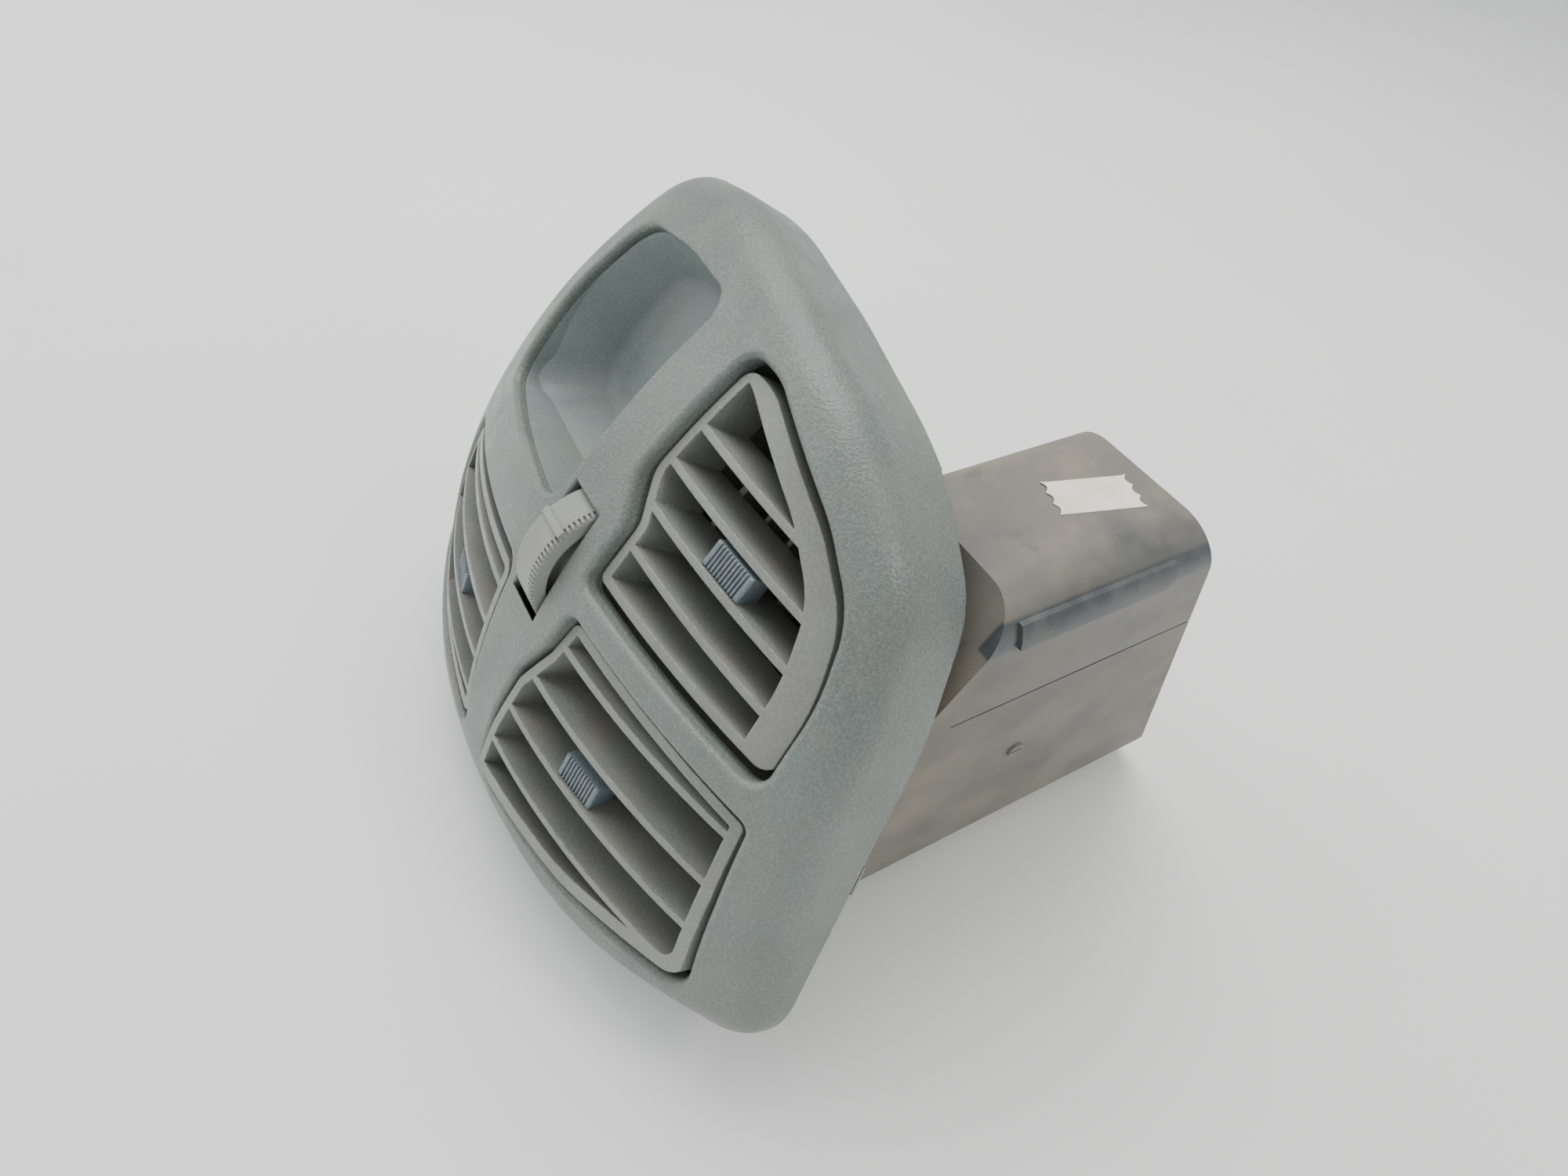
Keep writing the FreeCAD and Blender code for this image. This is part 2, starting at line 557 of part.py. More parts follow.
def make_wheel():
    """Drum with a serrated right edge, an index ridge and a crank disc in its right side."""
    x0, x1 = WHEEL_X
    along = Vector(1, 0, 0)
    wheel = Part.makeCylinder(WHEEL_R, x1 - x0, Vector(x0, 0, 0), along)
    wheel = try_fillet(wheel, WHEEL_ROUND, [e for e in wheel.Edges if e.Closed])
    inside = WHEEL_R - WHEEL_RIM_T
    wheel = wheel.cut(Part.makeCylinder(inside, 3.0, Vector(x0 - 0.1, 0, 0), along))
    wheel = wheel.cut(Part.makeCylinder(inside, x1, Vector(WHEEL_HUB_X, 0, 0), along))
    length, width, depth = TOOTH
    groove = box(x1 - length, x1 + 1, -width / 2, width / 2, WHEEL_R - depth, WHEEL_R + 1)
    cutters = []
    for i in range(WHEEL_TEETH):
        one = groove.copy()
        one.rotate(Vector(0, 0, 0), along, i * 360.0 / WHEEL_TEETH)
        cutters.append(one)
    wheel = wheel.cut(Part.makeCompound(cutters))
    mark = box(x0 + 0.4, x1 - 0.4, -MARK[0] / 2, MARK[0] / 2, WHEEL_R - 2, WHEEL_R + MARK[1])
    mark.rotate(Vector(0, 0, 0), along, 90.0 - LEAN - MARK_TURN)
    wheel = wheel.fuse(mark)
    disc = Part.makeCylinder(CRANK_R + 3, CRANK_DISC_T, Vector(WHEEL_HUB_X - 0.1, 0, 0), along)
    wheel = wheel.fuse(disc)
    wheel.translate(WHEEL_C)
    pin = rod(LINK_PIN_R, pin_point(WHEEL_C, CRANK_R, WHEEL_HUB_X),
              pin_point(WHEEL_C, CRANK_R, LINK_X + PIN_REACH))
    bore = rod(AXLE_R + RUN_GAP, WHEEL_C + Vector(-12, 0, 0), WHEEL_C + Vector(12, 0, 0))
    return solid_of(wheel.fuse(pin).cut(bore))


def make_axle():
    left, right = BRACKET_ARMS[0][0] - 0.4, BRACKET_ARMS[1][1] + 0.1
    axle = rod(AXLE_R, WHEEL_C + Vector(left, 0, 0), WHEEL_C + Vector(right + 0.9, 0, 0))
    head = rod(AXLE_R + 0.9, WHEEL_C + Vector(right, 0, 0), WHEEL_C + Vector(right + 1.0, 0, 0))
    return solid_of(axle.fuse(head))


def make_wheel_bracket():
    """Two arms on a foot that stands on the housing plate, in face coordinates."""
    top = WHEEL_N + 5
    arms = [box(x0, x1, -4, 4, PLATE_N, top) for x0, x1 in BRACKET_ARMS]
    foot = box(BRACKET_ARMS[0][0], BRACKET_ARMS[1][1], -4, 4, PLATE_N, PLATE_N + 2)
    bracket = foot.fuse(arms)
    hub = Part.makeCylinder(AXLE_R + 0.02, 40, Vector(-20, 0, WHEEL_N), Vector(1, 0, 0))
    return solid_of(bracket.cut(hub))


def plate_along(start, stop, width, x0, x1):
    """Flat bar between two points, in the y-z plane, between two x."""
    along = (stop - start).normalize()
    across = Vector(1, 0, 0).cross(along).normalize() * (width / 2)
    corners = [start - across, stop - across, stop + across, start + across]
    corners = [Vector(x0, p.y, p.z) for p in corners]
    face = Part.Face(Part.makePolygon(corners + [corners[0]]))
    return face.extrude(Vector(x1 - x0, 0, 0))


def eye(pin, sag, x0, x1):
    """Slotted end of the link rod: the pin slides down it as it swings."""
    top = pin + ROD_UP * 3.6
    bottom = pin - ROD_UP * (sag + 3.6)
    return plate_along(top, bottom, EYE_W, x0, x1)


def eye_slot(pin, sag, x0, x1):
    top = pin + ROD_UP * 1.8
    bottom = pin - ROD_UP * (sag + 1.8)
    return plate_along(top, bottom, EYE_SLOT_W, x0 - 1, x1 + 1)


def make_link_rod():
    x0 = LINK_X - LINK_T / 2
    x1 = LINK_X + LINK_T / 2
    crank = pin_point(WHEEL_C, CRANK_R, LINK_X)
    lever = pin_point(FLAP_C, LEVER_R, LINK_X)
    bar = plate_along(crank + ROD_DIR * 3.0 - ROD_UP * 1.2, lever - ROD_DIR * 3.0 - ROD_UP * 1.2,
                      3.2, x0, x1)
    bar = bar.fuse([eye(crank, CRANK_SAG, x0, x1), eye(lever, LEVER_SAG, x0, x1)])
    bar = bar.cut(eye_slot(crank, CRANK_SAG, x0, x1)).cut(eye_slot(lever, LEVER_SAG, x0, x1))
    return solid_of(bar)


def make_damper_shaft():
    """Shaft with its lever; the far end shows as a slotted oval in the duct's right wall."""
    start = Vector(LEVER_X[0], FLAP_Y, FLAP_Z)
    stop = Vector(DUCT_X[1] + 0.9, FLAP_Y, FLAP_Z)
    shaft = rod(SHAFT_R, start, stop)
    lever = plate_along(FLAP_C - ROD_UP * 3.5, FLAP_C + ROD_UP * (LEVER_R + 3.0), 7.0, *LEVER_X)
    pin = rod(LINK_PIN_R, pin_point(FLAP_C, LEVER_R, LEVER_X[0] + 1),
              pin_point(FLAP_C, LEVER_R, LINK_X + PIN_REACH))
    shaft = shaft.fuse([lever, pin])
    notch = box(DUCT_X[1] + 0.3, DUCT_X[1] + 2, FLAP_Y - 2.0, FLAP_Y + 2.0, FLAP_Z - 0.4, FLAP_Z + 0.4)
    return solid_of(shaft.cut(notch))


def duct_section(grow):
    """Cross-section of the duct, drawn as x and z, at y = 0."""
    face = round_rect(DUCT_X[0], DUCT_X[1], DUCT_Z[0], DUCT_Z[1], DUCT_R, grow)
    face.rotate(Vector(0, 0, 0), Vector(1, 0, 0), 90)
    return face


def duct_bar(grow, y0, y1):
    face = duct_section(grow)
    face.translate(Vector(0, y0, 0))
    return face.extrude(Vector(0, y1 - y0, 0))


def turn_flap(shape):
    out = shape.copy()
    out.rotate(FLAP_C, Vector(1, 0, 0), FLAP_REST)
    return out


def make_flap():
    plate = duct_bar(-DUCT_T - FLAP_GAP - 1.2, FLAP_Y - FLAP_T / 2, FLAP_Y + FLAP_T / 2)
    hub = rod(SHAFT_R + 1.8, Vector(DUCT_X[0] + 4.5, FLAP_Y, FLAP_Z),
              Vector(DUCT_X[1] - 4.5, FLAP_Y, FLAP_Z))
    flap = plate.fuse(hub)
    for z in (-80.0, -20.0, 5.0):
        flap = flap.fuse(box(DUCT_X[0] + 8, DUCT_X[1] - 8, FLAP_Y + FLAP_T / 2, FLAP_Y + 3, z, z + 1.5))
    flap = flap.cut(rod(SHAFT_R + 0.02, Vector(0, FLAP_Y, FLAP_Z), Vector(100, FLAP_Y, FLAP_Z)))
    return turn_flap(solid_of(flap))


def make_flap_seal():
    thick = FLAP_T / 2 + 1.0
    seal = duct_bar(-DUCT_T - FLAP_GAP, FLAP_Y - thick, FLAP_Y + thick)
    seal = seal.cut(duct_bar(-DUCT_T - FLAP_GAP - 4.5, FLAP_Y - 9, FLAP_Y + 9))
    half = FLAP_T / 2 + 0.02
    seal = seal.cut(duct_bar(-DUCT_T - FLAP_GAP - 1.18, FLAP_Y - half, FLAP_Y + half))
    seal = seal.cut(rod(SHAFT_R + 2.2, Vector(0, FLAP_Y, FLAP_Z), Vector(100, FLAP_Y, FLAP_Z)))
    return turn_flap(seal)


# ---- plenum and duct ----
def plenum_block(block, inset):
    """Tapered block behind the plate, in row axes, inset from its outer surface."""
    front, back, n_back = block
    near = outline(front, -inset).OuterWire
    near.translate(Vector(0, 0, PLATE_N - PLATE_T + (3 if inset else 0)))
    far = outline(back, -inset).OuterWire
    far.translate(Vector(0, 0, n_back + inset))
    solid = Part.makeLoft([near, far], True, True)
    solid.Placement = Placement(Vector(0, 0, 0), FACE_TO_ROW)
    return solid


def air_volume(inset):
    """Everything inside the plenum and duct, inset from their outer surface."""
    behind = box(-200, 200, -200, 200, -260, DUCT_FRONT_N - inset)
    behind.Placement = Placement(Vector(0, 0, 0), FACE_TO_ROW)
    duct = duct_bar(-inset, -20, 220).common(behind)
    blocks = [plenum_block(block, inset) for block in (UPPER_BLOCK, LOWER_BLOCK, LEFT_BLOCK)]
    return duct.fuse(blocks)


def inlet_cutter():
    """Half space behind the sloping inlet face."""
    drop = 200.0
    top = Vector(-60, DUCT_END_Y - drop * DUCT_END_SLOPE, DUCT_Z[1] + drop)
    low = Vector(-60, DUCT_END_Y + drop * DUCT_END_SLOPE, DUCT_Z[1] - drop)
    back = Vector(0, 300, 0)
    face = Part.Face(Part.makePolygon([top, low, low + back, top + back, top]))
    return face.extrude(Vector(220, 0, 0))


def make_ducts():
    walls = air_volume(0.0).cut(air_volume(DUCT_T)).cut(inlet_cutter())
    tail_room = duct_bar(0.5, DUCT_Y, 260)
    tail = walls.common(tail_room)
    plenum = solid_of(walls.cut(tail_room))
    upper = tail.common(box(-10, 120, 0, 300, SEAM_Z, 100))
    lower = tail.common(box(-10, 120, 0, 300, -200, SEAM_Z))
    skin = duct_bar(1.0, DUCT_Y, 260).cut(duct_bar(-0.8, DUCT_Y - 1, 261))
    groove = skin.common(box(-10, 120, 0, 300, SEAM_Z - SEAM_GROOVE, SEAM_Z + SEAM_GROOVE))
    upper = upper.cut(groove)
    lower = lower.cut(groove)
    rail = box(DUCT_X[1] - 4.5, DUCT_X[1] + RAIL_OUT, DUCT_Y + 12, DUCT_END_Y - 12,
               DUCT_Z[1] - 11.5, DUCT_Z[1] - 5.0)
    rail = rail.cut(duct_bar(-0.8, 0, 300)).common(duct_bar(RAIL_OUT, 0, 300))
    upper = upper.fuse(rail)
    hole = rod(SHAFT_R + RUN_GAP, Vector(-50, FLAP_Y, FLAP_Z), Vector(150, FLAP_Y, FLAP_Z))
    boss = rod(SHAFT_R + 3, Vector(DUCT_X[0] - 4, FLAP_Y, FLAP_Z), Vector(DUCT_X[0] + 1, FLAP_Y, FLAP_Z))
    lower = lower.fuse(boss).cut(hole)
    return plenum, upper, lower


def make_label():
    w, h, t = LABEL
    label = box(-w / 2, w / 2, -h / 2, h / 2, 0, t)
    for side in (-1, 1):
        for k in (-1, 0, 1):
            bite = Part.makeCylinder(1.3, 3, Vector(side * (w / 2 + 0.5), k * h / 3, -1))
            label = label.cut(bite)
    label.rotate(Vector(0, 0, 0), Vector(0, 0, 1), 75)
    label.translate(Vector(59, 126.5, DUCT_Z[1] + 0.02))
    return solid_of(label)


core = shell_solid(SHELL + 0.4)
save("bezel", make_bezel(core))
save("vent_housing", make_plate())
save("display_pocket", make_pocket())
save("bezel_screws", make_bezel_screws())
save("rim_clips", make_clips())
for key, vent in VENTS.items():
    save("vent_tube_" + key, make_tube(vent, core))
    save("grille_" + key, make_grille(vent))
    save("vane_carrier_" + key, make_carrier(vent))
    save("knob_" + key, make_knob(vent))
    save("link_bar_" + key, make_link_bar(vent))
    for i, x in enumerate(vent["vanes"]):
        save("vane_%s%d" % (key, i + 1), make_vane(vent, x))
save("thumbwheel", make_wheel(), False)
save("wheel_axle", make_axle(), False)
save("wheel_bracket", make_wheel_bracket())
save("damper_link", make_link_rod(), False)
save("damper_shaft", make_damper_shaft(), False)
save("damper_flap", make_flap(), False)
save("flap_seal", make_flap_seal(), False)
plenum, duct_upper, duct_lower = make_ducts()
save("plenum", plenum, False)
save("duct_upper", duct_upper, False)
save("duct_lower", duct_lower, False)
save("price_label", make_label(), False)
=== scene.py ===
import json
import math

import bmesh
import bpy
from mathutils import Matrix, Quaternion, Vector


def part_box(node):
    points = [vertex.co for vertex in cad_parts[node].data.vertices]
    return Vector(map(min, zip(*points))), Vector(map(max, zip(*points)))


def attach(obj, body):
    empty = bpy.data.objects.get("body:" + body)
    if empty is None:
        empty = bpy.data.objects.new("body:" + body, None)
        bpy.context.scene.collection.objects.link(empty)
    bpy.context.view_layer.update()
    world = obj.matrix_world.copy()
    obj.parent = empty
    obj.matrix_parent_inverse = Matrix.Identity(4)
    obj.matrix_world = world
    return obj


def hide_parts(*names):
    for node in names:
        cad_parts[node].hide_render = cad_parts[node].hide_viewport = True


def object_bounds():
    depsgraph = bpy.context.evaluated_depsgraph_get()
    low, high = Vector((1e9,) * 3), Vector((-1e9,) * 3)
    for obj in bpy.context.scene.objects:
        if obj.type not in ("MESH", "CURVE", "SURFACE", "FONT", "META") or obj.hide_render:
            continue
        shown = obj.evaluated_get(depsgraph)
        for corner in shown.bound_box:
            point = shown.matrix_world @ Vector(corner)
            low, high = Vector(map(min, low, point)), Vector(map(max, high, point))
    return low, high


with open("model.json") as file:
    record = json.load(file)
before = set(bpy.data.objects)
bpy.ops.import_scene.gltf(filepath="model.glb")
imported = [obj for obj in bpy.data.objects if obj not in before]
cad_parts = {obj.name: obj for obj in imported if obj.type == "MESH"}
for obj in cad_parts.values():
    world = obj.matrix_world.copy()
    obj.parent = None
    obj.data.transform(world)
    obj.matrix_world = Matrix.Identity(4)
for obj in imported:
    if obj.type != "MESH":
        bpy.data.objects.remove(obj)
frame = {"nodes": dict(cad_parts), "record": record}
cad_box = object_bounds()
nodes = frame["nodes"]

# Metres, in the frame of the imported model: X across the face, Y into the dash, Z up.
CAMERA_AT = Vector((0.1691, -0.0909, 0.1996))
CAMERA_AIM = Vector((0.0204, 0.0209, 0.0039))
CAMERA_ROLL = math.radians(9.89)
CAMERA_LENS = 21.36
SENSOR_WIDTH = 36.0

LABEL_SIZE = (0.026, 0.0125)
LABEL_TURN = math.radians(75)
LABEL_BITES = 3
LABEL_BITE_R = 0.0012
LABEL_THICK = 0.00012
LABEL_CURL = 0.00021         # how far the ends lift, before the rise across the width
LABEL_FLAT = 0.75            # share of the half length that lies flat
LABEL_GRID = (52, 30)        # faces along and across

EDGE_SOFT = 0.0006           # radius of the softened edges in the plastics' shading
EDGE_WORN = 0.0007           # radius that finds the edges to scuff
BEVEL_SAMPLES = 4
GRAIN_SECOND = (2.3, 0.4)    # scale and weight of the finer pebble over the first
SEAM_Z = 0.0132              # joint of the two duct shells
SEAM_BLEND = (0.004, 0.001)  # below and above the seam, where the film thins out
RAIL_Z = (0.0385, 0.0450)    # corner rail of the duct, lowest and highest
RAIL_X = 0.0820
RAIL_BLEND = (0.0008, 0.0012)
GUSSET_DUST_AND_LIGHT = (0.030, 0.052)  # evenly dusty up to the first Y, as the rest from the second; this film is also painted light that lifts the shade on the side of the plenum
DUST_FADE = (0.040, 0.085)   # dust on top of the duct thins out between these Y

FLOOR_HALF = 3.0
FLOOR_GAP = 0.002
WORLD_TINT = (0.96, 0.98, 1.0, 1.0)
WORLD_POWER = 0.80
LIGHTS = (                   # name, place, aim, size, watts, tint
    ("key", (-0.50, 0.25, 1.15), (0, 0.03, 0), 1.0, 14.0, (1.0, 1.0, 0.98)),
    ("front", (-0.9, -0.8, 0.7), (0, 0, 0), 1.1, 7.0, (0.96, 0.99, 1.0)),
    ("glint", (0.55, 0.55, 1.0), (0.07, 0.02, 0.02), 0.22, 2.4, (1.0, 0.98, 0.94)),
)


# ---- node graph helpers ----
def srgb(code):
    """Linear colour of a hex sRGB code."""
    parts = [int(code[i:i + 2], 16) / 255 for i in (0, 2, 4)]
    linear = [c / 12.92 if c <= 0.04045 else ((c + 0.055) / 1.055) ** 2.4 for c in parts]
    return (*linear, 1.0)


class Graph:
    """Short calls for building one material's node tree."""

    def __init__(self, name):
        self.material = bpy.data.materials.new(name)
        self.material.use_nodes = True
        self.tree = self.material.node_tree
        self.shader = self.tree.nodes["Principled BSDF"]
        self.place = self.add("ShaderNodeTexCoord").outputs["Object"]

    def add(self, kind, **settings):
        node = self.tree.nodes.new(kind)
        for key, value in settings.items():
            setattr(node, key, value)
        return node

    def wire(self, value, socket):
        if isinstance(value, bpy.types.NodeSocket):
            self.tree.links.new(value, socket)
        else:
            socket.default_value = value

    def math(self, operation, a, b=0.0, clamp=False):
        node = self.add("ShaderNodeMath", operation=operation, use_clamp=clamp)
        self.wire(a, node.inputs[0])
        self.wire(b, node.inputs[1])
        return node.outputs[0]

    def noise(self, scale, detail=4.0, rough=0.55, stretch=None):
        node = self.add("ShaderNodeTexNoise")
        place = self.place
        if stretch:
            mapping = self.add("ShaderNodeMapping")
            mapping.inputs["Scale"].default_value = stretch
            self.wire(place, mapping.inputs["Vector"])
            place = mapping.outputs[0]
        self.wire(place, node.inputs["Vector"])
        node.inputs["Scale"].default_value = scale
        node.inputs["Detail"].default_value = detail
        node.inputs["Roughness"].default_value = rough
        return node.outputs["Fac"]

    def cells(self, scale, feature="SMOOTH_F1"):
        node = self.add("ShaderNodeTexVoronoi", feature=feature)
        self.wire(self.place, node.inputs["Vector"])
        node.inputs["Scale"].default_value = scale
        return node.outputs["Distance"]

    def span(self, value, low, high, to_low=0.0, to_high=1.0):
        """Map low..high of a value onto to_low..to_high, clamped and eased."""
        node = self.add("ShaderNodeMapRange", interpolation_type="SMOOTHSTEP")
        self.wire(value, node.inputs["Value"])
        node.inputs["From Min"].default_value = low
        node.inputs["From Max"].default_value = high
        node.inputs["To Min"].default_value = to_low
        node.inputs["To Max"].default_value = to_high
        return node.outputs["Result"]

    def blend(self, factor, a, b):
        node = self.add("ShaderNodeMix", data_type="RGBA")
        self.wire(factor, node.inputs["Factor"])
        self.wire(a, node.inputs["A"])
        self.wire(b, node.inputs["B"])
        return node.outputs["Result"]

    def bump(self, height, distance, strength=1.0, below=None):
        node = self.add("ShaderNodeBump")
        node.inputs["Distance"].default_value = distance
        node.inputs["Strength"].default_value = strength
        self.wire(height, node.inputs["Height"])
        if below is not None:
            self.wire(below, node.inputs["Normal"])
        return node.outputs["Normal"]

    def upward(self):
        """1 on faces that look up, 0 on faces that look down or sideways."""
        split = self.add("ShaderNodeSeparateXYZ")
        self.wire(self.add("ShaderNodeNewGeometry").outputs["Normal"], split.inputs[0])
        return self.span(split.outputs["Z"], 0.0, 0.9)

    def edges(self, radius):
        """1 along edges, from how far a bevelled normal turns away from the face's own."""
        soft = self.add("ShaderNodeBevel", samples=BEVEL_SAMPLES)
        soft.inputs["Radius"].default_value = radius
        dot = self.add("ShaderNodeVectorMath", operation="DOT_PRODUCT")
        self.wire(soft.outputs[0], dot.inputs[0])
        self.wire(self.add("ShaderNodeNewGeometry").outputs["Normal"], dot.inputs[1])
        return self.span(dot.outputs["Value"], 0.99, 0.80)


# ---- materials ----
def plastic(name, low, high, rough, grain=None, dust=0.0, dust_tone="8C7A66", wear=0.0,
            wear_tone="B9B8B0", patches=26.0, dust_scale=60.0, stretch=None, metallic=0.0):
    """Moulded plastic: two tones, pebble grain, settled dust, worn edges."""
    g = Graph(name)
    tone = g.blend(g.span(g.noise(patches, 5.0), 0.32, 0.68), srgb(low), srgb(high))
    speck = g.noise(1500.0, 3.0)
    tone = g.blend(g.span(speck, 0.35, 0.75, 0.0, 0.16), tone, srgb("C4CBC8"))
    roughness = g.span(g.noise(90.0, 5.0), 0.3, 0.7, rough - 0.07, rough + 0.08)
    soft = g.add("ShaderNodeBevel", samples=BEVEL_SAMPLES)
    soft.inputs["Radius"].default_value = EDGE_SOFT
    normal = soft.outputs[0]
    if grain:
        scale, depth = grain
        finer, weight = GRAIN_SECOND
        second = g.math("MULTIPLY", g.cells(scale * finer), weight)
        normal = g.bump(g.math("ADD", g.cells(scale), second), depth, 1.0, normal)
    normal = g.bump(g.noise(2600.0, 3.0), 0.00002, 0.7, normal)
    if wear:
        scuff = g.math("MULTIPLY", g.edges(EDGE_WORN), g.span(g.noise(420.0, 6.0), 0.42, 0.66))
        tone = g.blend(g.math("MULTIPLY", scuff, wear, True), tone, srgb(wear_tone))
    if dust:
        cloud = g.span(g.noise(dust_scale, 9.0, 0.66, stretch), 0.36, 0.68)
        settled = g.math("ADD", g.math("MULTIPLY", g.upward(), 0.62), 0.38)
        film = g.math("MULTIPLY", g.math("MULTIPLY", cloud, settled), dust, True)
        tone = g.blend(film, tone, srgb(dust_tone))
        roughness = g.math("ADD", roughness, g.math("MULTIPLY", film, 0.42), True)
    g.wire(tone, g.shader.inputs["Base Color"])
    g.wire(roughness, g.shader.inputs["Roughness"])
    g.wire(normal, g.shader.inputs["Normal"])
    g.shader.inputs["Metallic"].default_value = metallic
    return g.material


def paper(name):
    """Cream label stock with faint stains."""
    g = Graph(name)
    tone = g.blend(g.span(g.noise(140.0, 5.0), 0.35, 0.65), srgb("EBE5D0"), srgb("F6F2E4"))
    stain = g.span(g.noise(260.0, 6.0, 0.7), 0.56, 0.74, 0.0, 0.45)
    g.wire(g.blend(stain, tone, srgb("A8977C")), g.shader.inputs["Base Color"])
    g.wire(g.span(g.noise(300.0), 0.3, 0.7, 0.62, 0.85), g.shader.inputs["Roughness"])
    g.wire(g.bump(g.noise(3000.0, 5.0), 0.00003), g.shader.inputs["Normal"])
    return g.material


def foam(name):
    """Dark open-cell foam."""
    g = Graph(name)
    tone = g.blend(g.span(g.noise(700.0), 0.4, 0.6), srgb("1C1C1B"), srgb("37352F"))
    g.wire(tone, g.shader.inputs["Base Color"])
    g.wire(g.span(g.noise(200.0), 0.3, 0.7, 0.88, 0.98), g.shader.inputs["Roughness"])
    g.wire(g.bump(g.cells(1400.0, "F1"), 0.0002), g.shader.inputs["Normal"])
    return g.material


def duct_finish(name):
    """Satin blue-grey duct: patchy dust on top, film on the sides, raised near the bezel as
    painted light on the shaded plenum side, a cleaner dark rail.
    """
    g = Graph(name)
    place = g.add("ShaderNodeSeparateXYZ")
    g.wire(g.place, place.inputs[0])
    facing = g.add("ShaderNodeSeparateXYZ")
    g.wire(g.add("ShaderNodeNewGeometry").outputs["Normal"], facing.inputs[0])
    tone = g.blend(g.span(g.noise(24.0, 4.0), 0.35, 0.65), srgb("3C4245"), srgb("4D5456"))

    top = g.span(facing.outputs["Z"], 0.35, 0.85)
    patches = g.span(g.noise(17.0, 5.0, 0.6), 0.33, 0.60, 0.25, 0.90)
    near_bezel = g.span(place.outputs["Y"], DUST_FADE[0], DUST_FADE[1], 0.28, 0.0)
    top_film = g.math("ADD", patches, near_bezel, True)
    smears = g.span(g.noise(60.0, 7.0, 0.7, (1.0, 0.30, 1.0)), 0.35, 0.70, 0.62, 0.95)
    below_seam = g.span(place.outputs["Z"], SEAM_Z - SEAM_BLEND[0], SEAM_Z + SEAM_BLEND[1],
                        1.0, 0.72)
    # near the bezel the side film rises to 0.95: dust tone that is also painted light, lifting
    # the shade on the side of the plenum
    gusset = g.span(place.outputs["Y"], GUSSET_DUST_AND_LIGHT[0], GUSSET_DUST_AND_LIGHT[1], 0.95, 0.0)
    side_film_and_light = g.math("MAXIMUM", g.math("MULTIPLY", smears, below_seam), gusset)
    # film carries the dust and, near the bezel, the painted light on the shaded plenum side
    film = g.math("ADD", g.math("MULTIPLY", top_film, top),
                  g.math("MULTIPLY", side_film_and_light, g.math("SUBTRACT", 1.0, top)), True)

    low_edge = g.span(place.outputs["Z"], RAIL_Z[0] - RAIL_BLEND[0], RAIL_Z[0])
    high_edge = g.span(place.outputs["Z"], RAIL_Z[1], RAIL_Z[1] + RAIL_BLEND[1], 1.0, 0.0)
    outer = g.span(place.outputs["X"], RAIL_X - 0.001, RAIL_X)
    rail = g.math("MULTIPLY", g.math("MULTIPLY", low_edge, high_edge), outer)
    wiped = g.math("MULTIPLY", rail, g.span(g.noise(130.0, 5.0), 0.34, 0.60, 0.60, 0.95))
    film = g.math("MULTIPLY", film, g.math("SUBTRACT", 1.0, wiped))

    dirt = g.blend(g.span(g.noise(45.0, 6.0), 0.35, 0.65), srgb("77736A"), srgb("8A8374"))
    tone = g.blend(film, tone, dirt)
    marks = g.span(g.noise(85.0, 4.0, 0.5, (1.0, 0.5, 0.7)), 0.66, 0.70, 0.0, 0.45)
    tone = g.blend(marks, tone, srgb("5A5C5B"))
    g.wire(tone, g.shader.inputs["Base Color"])
    g.wire(g.span(film, 0.0, 1.0, 0.22, 0.66), g.shader.inputs["Roughness"])
    grit = g.bump(g.noise(1800.0, 5.0), 0.00003, 0.8)
    g.wire(g.bump(g.noise(22.0, 2.0), 0.0006, 0.5, grit), g.shader.inputs["Normal"])
    return g.material


FINISHES = {
    "bezel_plastic": plastic("bezel_plastic", "5F6763", "6F7773", 0.34, (1300.0, 0.00013),
                             dust=0.16, wear=0.55, patches=14.0, dust_tone="8E8472"),
    # housing grey, lifted lighter than its own colour as painted light that lifts the shade in
    # the gaps behind the louvres
    "housing_plastic": plastic("housing_plastic", "686A66", "787974", 0.55, dust=0.5,
                               dust_tone="857B6F"),
    # pocket grey, lifted well above its own colour as painted light that lifts the shade
    # inside the recess
    "pocket_plastic": plastic("pocket_plastic", "76837F", "838F8E", 0.42, dust=0.34,
                              dust_tone="8F8A80", stretch=(1.0, 0.25, 1.0)),
    # grille grey, lifted lighter than its own colour as painted light that lifts the shade on
    # and between the louvres
    "grille_plastic": plastic("grille_plastic", "787A75", "878984", 0.34, dust=0.36,
                              dust_tone="8A8074", wear=0.7, wear_tone="C3C4BC"),
    "knob_plastic": plastic("knob_plastic", "65737A", "748289", 0.42, dust=0.15, wear=0.4),
    "wheel_plastic": plastic("wheel_plastic", "828480", "91938D", 0.42, dust=0.22, wear=0.5),
    # vane grey, lifted lighter than its own colour as painted light that lifts the shade in
    # the louvre gaps
    "vane_plastic": plastic("vane_plastic", "74756F", "82827B", 0.5, dust=0.5,
                            dust_tone="857B6F"),
    "link_plastic": plastic("link_plastic", "A9A698", "BBB8A9", 0.42, dust=0.3),
    "duct_plastic": duct_finish("duct_plastic"),
    "zinc_steel": plastic("zinc_steel", "8D8D88", "A7A69F", 0.34, metallic=0.9, dust=0.25),
    "spring_steel": plastic("spring_steel", "97948A", "B5B2A8", 0.32, metallic=0.9, dust=0.2),
    "paper_label": paper("paper_label"),
    "foam": foam("foam"),
}

for entry in frame["record"]["subparts"]:
    mesh = nodes[entry["node"]].data
    mesh.materials.clear()
    mesh.materials.append(FINISHES[entry["material_slot"]])


# ---- blank paper label with a wavy cut at both ends ----
def wavy_half(across):
    """Half length of the label at a place across its width, less the bites."""
    length, width = LABEL_SIZE
    pitch = width / LABEL_BITES
    phase = (across / pitch + 0.5) % 1.0 - 0.5
    return length / 2 - LABEL_BITE_R * math.cos(math.pi * phase)


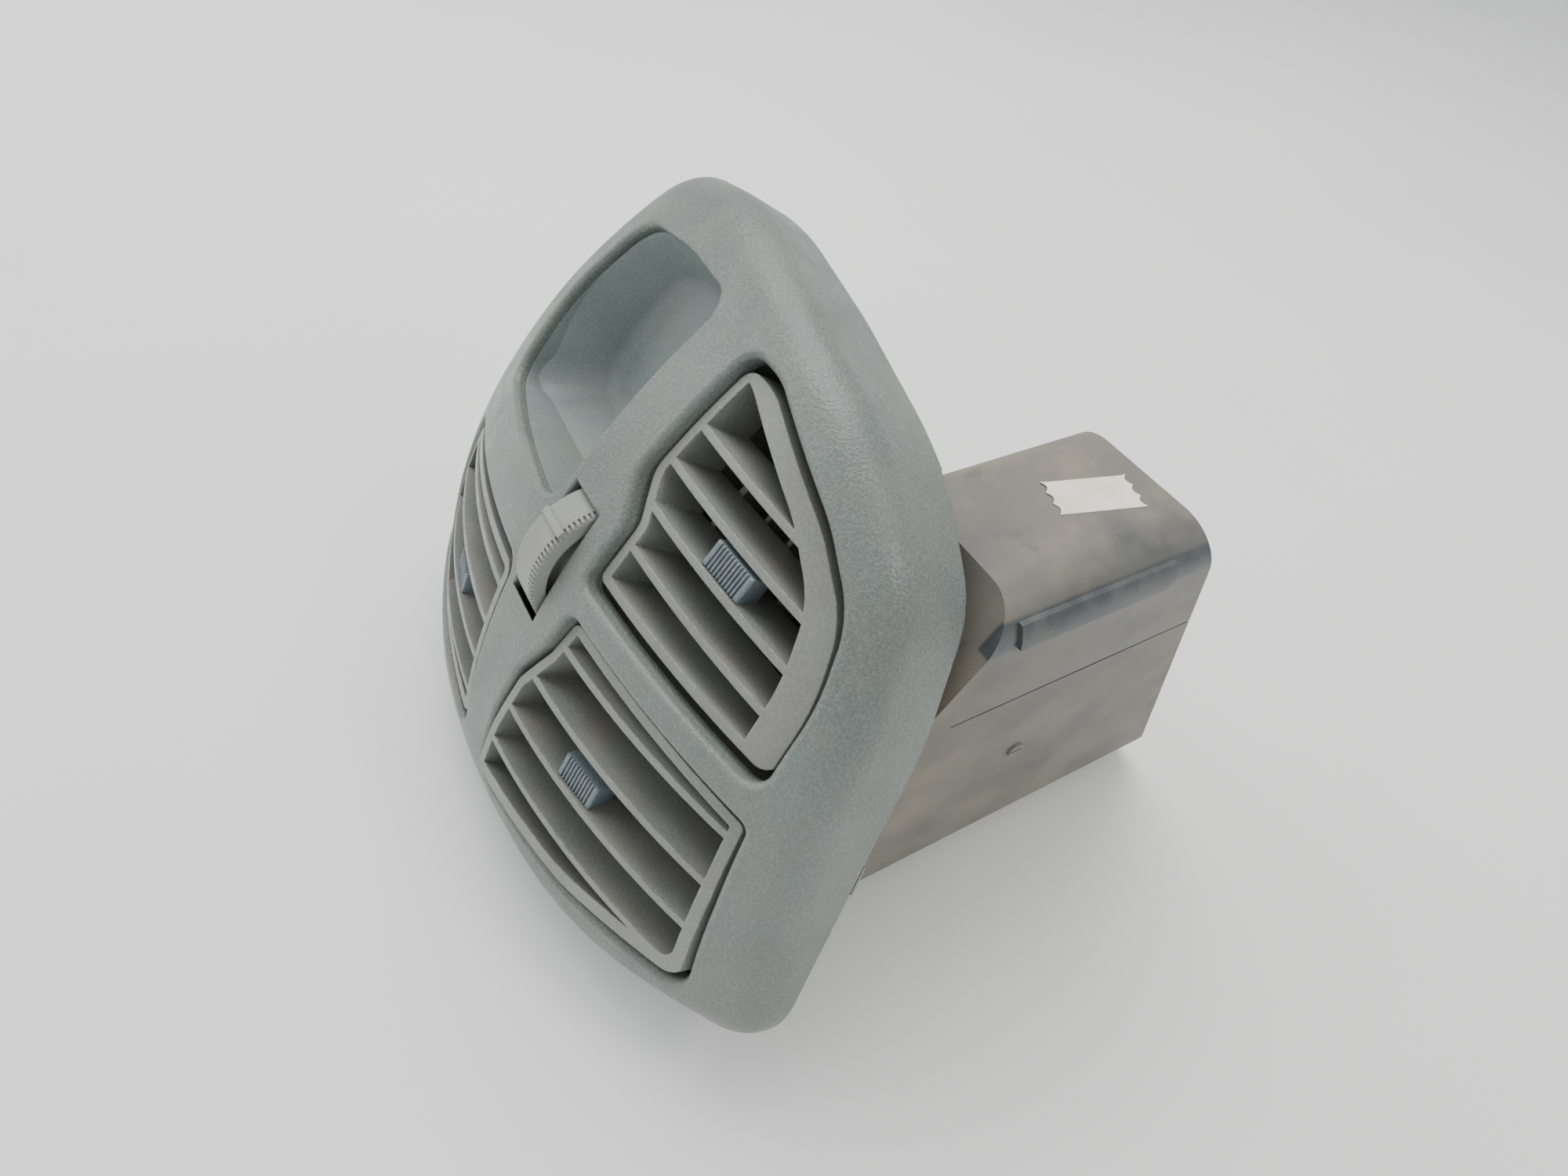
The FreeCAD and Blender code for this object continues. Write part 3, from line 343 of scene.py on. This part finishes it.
def make_label():
    """Thin sheet whose ends curl up, in place of the plain solid of the CAD."""
    columns, rows = LABEL_GRID
    bm = bmesh.new()
    grid = []
    for j in range(rows + 1):
        across = (j / rows - 0.5) * LABEL_SIZE[1]
        half = wavy_half(across)
        line = []
        for i in range(columns + 1):
            t = 2 * i / columns - 1
            past_flat = max(0.0, abs(t) - LABEL_FLAT) / (1 - LABEL_FLAT)
            lift = LABEL_CURL * past_flat ** 2 * (0.4 + j / rows)
            line.append(bm.verts.new((t * half, across, lift)))
        grid.append(line)
    for j in range(rows):
        for i in range(columns):
            bm.faces.new((grid[j][i], grid[j][i + 1], grid[j + 1][i + 1], grid[j + 1][i]))
    mesh = bpy.data.meshes.new("label_sheet")
    bm.to_mesh(mesh)
    bm.free()
    sheet = bpy.data.objects.new("label_sheet", mesh)
    bpy.context.scene.collection.objects.link(sheet)
    low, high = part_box("price_label")
    middle = (low + high) / 2
    sheet.matrix_world = Matrix.Translation((middle.x, middle.y, low.z)) @ Matrix.Rotation(
        LABEL_TURN, 4, "Z")
    thick = sheet.modifiers.new("thickness", "SOLIDIFY")
    thick.thickness = LABEL_THICK
    thick.offset = 1.0
    mesh.materials.append(FINISHES["paper_label"])
    mesh.shade_smooth()
    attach(sheet, "housing")
    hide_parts("price_label")


make_label()


# ---- floor, lights, camera ----
def make_floor():
    """Pale paper just under the part."""
    mesh = bpy.data.meshes.new("floor")
    signs = ((-1, -1), (1, -1), (1, 1), (-1, 1))
    corners = [(x * FLOOR_HALF, y * FLOOR_HALF, 0) for x, y in signs]
    mesh.from_pydata(corners, [], [(0, 1, 2, 3)])
    floor = bpy.data.objects.new("floor", mesh)
    floor.location = (0, 0, cad_box[0][2] - FLOOR_GAP)
    bpy.context.scene.collection.objects.link(floor)
    g = Graph("floor_paper")
    tone = g.blend(g.span(g.noise(3.0), 0.3, 0.7), srgb("F1F1EF"), srgb("F6F6F4"))
    g.wire(tone, g.shader.inputs["Base Color"])
    g.shader.inputs["Roughness"].default_value = 0.9
    mesh.materials.append(g.material)


def area_light(name, place, aim, size, power, tint):
    light = bpy.data.lights.new(name, "AREA")
    light.size = size
    light.energy = power
    light.color = tint
    lamp = bpy.data.objects.new(name, light)
    lamp.location = place
    lamp.rotation_euler = (Vector(aim) - Vector(place)).to_track_quat("-Z", "Y").to_euler()
    bpy.context.scene.collection.objects.link(lamp)


make_floor()
for lamp in LIGHTS:
    area_light(*lamp)

world = bpy.data.worlds.new("studio")
world.use_nodes = True
background = world.node_tree.nodes["Background"]
background.inputs["Color"].default_value = WORLD_TINT
background.inputs["Strength"].default_value = WORLD_POWER
bpy.context.scene.world = world

camera_data = bpy.data.cameras.new("camera")
camera_data.lens = CAMERA_LENS
camera_data.sensor_width = SENSOR_WIDTH
camera_data.clip_start = 0.01
camera = bpy.data.objects.new("camera", camera_data)
look = (CAMERA_AIM - CAMERA_AT).to_track_quat("-Z", "Y")
camera.location = CAMERA_AT
camera.rotation_euler = (look @ Quaternion((0, 0, 1), CAMERA_ROLL)).to_euler()
bpy.context.scene.collection.objects.link(camera)
bpy.context.scene.camera = camera

bpy.context.view_layer.update()
